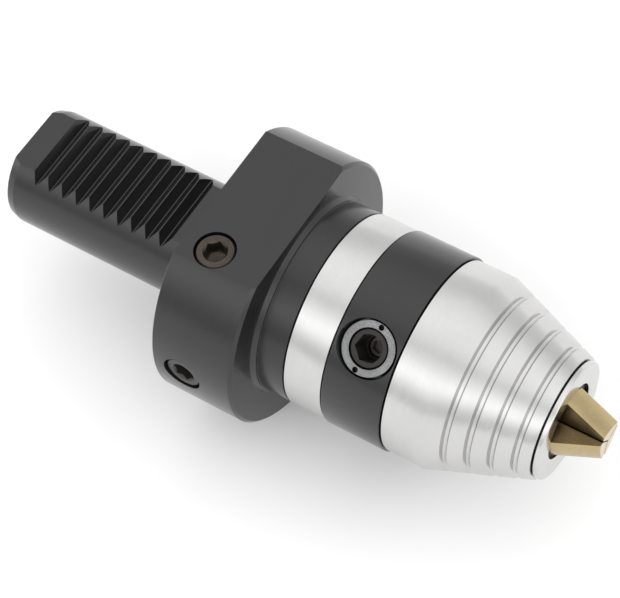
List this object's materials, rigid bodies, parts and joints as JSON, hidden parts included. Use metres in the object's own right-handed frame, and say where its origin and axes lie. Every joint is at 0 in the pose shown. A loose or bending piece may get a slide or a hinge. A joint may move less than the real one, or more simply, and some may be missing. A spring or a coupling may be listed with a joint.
{
  "type": "tool-holder drill chuck",
  "caption": "Key-operated drill chuck with three gold-coated jaws on a toothed tool-holder shank, tightened by a hexagon key in its side.",
  "frame": {"origin": "centre of the flange's contact face, on the chuck axis", "axes": "+X along the chuck axis towards the jaws, +Z normal to the flat on flange and shank"},
  "size_m": [0.1586, 0.068, 0.0619],
  "materials": {
    "black_steel": "black oxide, satin",
    "housing_steel": "black oxide, satin",
    "dark_steel": "black oxide, oiled",
    "plug_steel": "bronze-brown oxide",
    "bright_steel": "fine turned",
    "nut_steel": "ground",
    "gear_steel": "machined",
    "bearing_steel": "polished",
    "bronze": "machined",
    "gold_coat": "gold titanium-nitride coating",
    "rubber": "moulded"
  },
  "bodies": {
    "chuck_body": {"tool_body": "black_steel", "flange_plug_top": "plug_steel", "flange_plug_side": "dark_steel", "flange_seal": "rubber", "clamp_ring": "bright_steel", "gear_housing": "housing_steel", "pinion_ring_nut": "nut_steel", "spindle_bush": "bronze", "race_rear": "bearing_steel", "nose_sleeve": "bright_steel", "nose_cap": "bright_steel", "nose_seal": "rubber", "jaw_guide": "gear_steel"},
    "pinion": {"drive_pinion": "dark_steel", "pinion_screw": "gear_steel", "pinion_seal": "rubber"},
    "spindle": {"spindle": "gear_steel", "race_front": "bearing_steel"},
    "cage": {"bearing_cage": "bronze", "bearing_ball_01": "bearing_steel", "bearing_ball_02": "bearing_steel", "bearing_ball_03": "bearing_steel", "bearing_ball_04": "bearing_steel", "bearing_ball_05": "bearing_steel", "bearing_ball_06": "bearing_steel", "bearing_ball_07": "bearing_steel", "bearing_ball_08": "bearing_steel", "bearing_ball_09": "bearing_steel", "bearing_ball_10": "bearing_steel", "bearing_ball_11": "bearing_steel", "bearing_ball_12": "bearing_steel"},
    "carrier": {"jaw_carrier": "gear_steel"},
    "jaw_a": {"jaw_1": "gold_coat"},
    "jaw_b": {"jaw_2": "gold_coat"},
    "jaw_c": {"jaw_3": "gold_coat"}
  },
  "joints": [
    {"name": "pinion_turn", "type": "hinge", "parent": "chuck_body", "child": "pinion", "pos_m": [0.04835, 0, 0], "axis": [0, -0.6293, 0.7771], "range_deg": [0, 4305.2]},
    {"name": "spindle_turn", "type": "hinge", "parent": "chuck_body", "child": "spindle", "pos_m": [0, 0, 0], "axis": [1, 0, 0], "range_deg": [0, 1793.8]},
    {"name": "cage_turn", "type": "hinge", "parent": "chuck_body", "child": "cage", "pos_m": [0, 0, 0], "axis": [1, 0, 0], "range_deg": [0, 896.95]},
    {"name": "carrier_slide", "type": "slide", "parent": "chuck_body", "child": "carrier", "axis": [-1, 0, 0], "range_m": [0, 0.01495]},
    {"name": "jaw_a_slide", "type": "slide", "parent": "chuck_body", "child": "jaw_a", "axis": [-0.9171, 0.1532, 0.3681], "range_m": [0, 0.0163]},
    {"name": "jaw_b_slide", "type": "slide", "parent": "chuck_body", "child": "jaw_b", "axis": [-0.9171, -0.3954, -0.0514], "range_m": [0, 0.0163]},
    {"name": "jaw_c_slide", "type": "slide", "parent": "chuck_body", "child": "jaw_c", "axis": [-0.9171, 0.2422, -0.3168], "range_m": [0, 0.0163]}
  ],
  "couplings": [
    {"joint": "pinion_turn", "follows": "spindle_turn", "ratio": 2.4},
    {"joint": "cage_turn", "follows": "spindle_turn", "ratio": 0.5},
    {"joint": "carrier_slide", "follows": "spindle_turn", "m_per_rad": 0.00047746},
    {"joint": "jaw_a_slide", "follows": "spindle_turn", "m_per_rad": 0.00052065},
    {"joint": "jaw_b_slide", "follows": "spindle_turn", "m_per_rad": 0.00052065},
    {"joint": "jaw_c_slide", "follows": "spindle_turn", "m_per_rad": 0.00052065}
  ]
}
